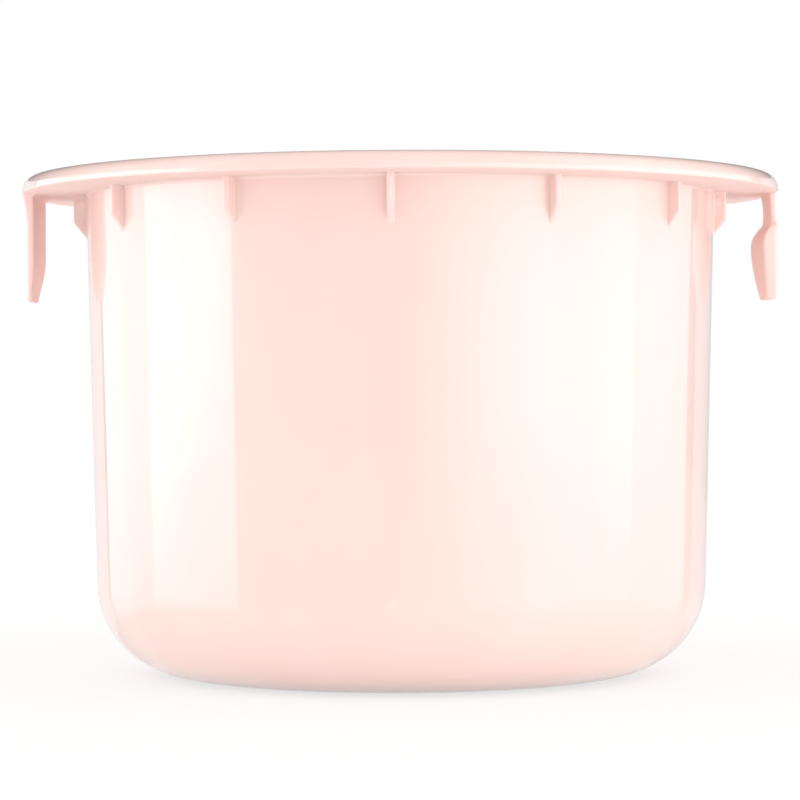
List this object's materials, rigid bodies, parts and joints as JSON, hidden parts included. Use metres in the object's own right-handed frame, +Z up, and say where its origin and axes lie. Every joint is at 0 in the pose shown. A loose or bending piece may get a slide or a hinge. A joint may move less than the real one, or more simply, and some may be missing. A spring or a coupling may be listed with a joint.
{
  "type": "wax warmer pot",
  "caption": "Drafted round pot with a broad flat rim, centring ribs under it, and two hanging legs, one with a sprung catch, that drops into a warmer's collar.",
  "frame": {"origin": "middle of the circle that the pot stands on, on the bench", "axes": "+Z up along the pot's axis, +X towards the sprung catch leg, -Y the front"},
  "size_m": [0.12, 0.12, 0.0785],
  "materials": {
    "pearl_pink_plastic": "glossy, faintly pearlescent, as moulded"
  },
  "bodies": {
    "pot": {"pot_cup": "pearl_pink_plastic", "rim_flange": "pearl_pink_plastic", "rib_01": "pearl_pink_plastic", "rib_02": "pearl_pink_plastic", "rib_03": "pearl_pink_plastic", "rib_04": "pearl_pink_plastic", "rib_05": "pearl_pink_plastic", "rib_06": "pearl_pink_plastic", "rib_07": "pearl_pink_plastic", "rib_08": "pearl_pink_plastic", "rib_09": "pearl_pink_plastic", "rib_10": "pearl_pink_plastic", "rib_11": "pearl_pink_plastic", "rib_12": "pearl_pink_plastic", "rib_13": "pearl_pink_plastic", "plain_leg": "pearl_pink_plastic"},
    "sprung_leg": {"catch_leg": "pearl_pink_plastic"}
  },
  "joints": [
    {"name": "catch_flex", "type": "hinge", "parent": "pot", "child": "sprung_leg", "pos_m": [0.05926, 0, 0.07475], "axis": [0, -1, 0], "range_deg": [-4, 12], "stiffness_Nm_per_rad": 0.2}
  ]
}
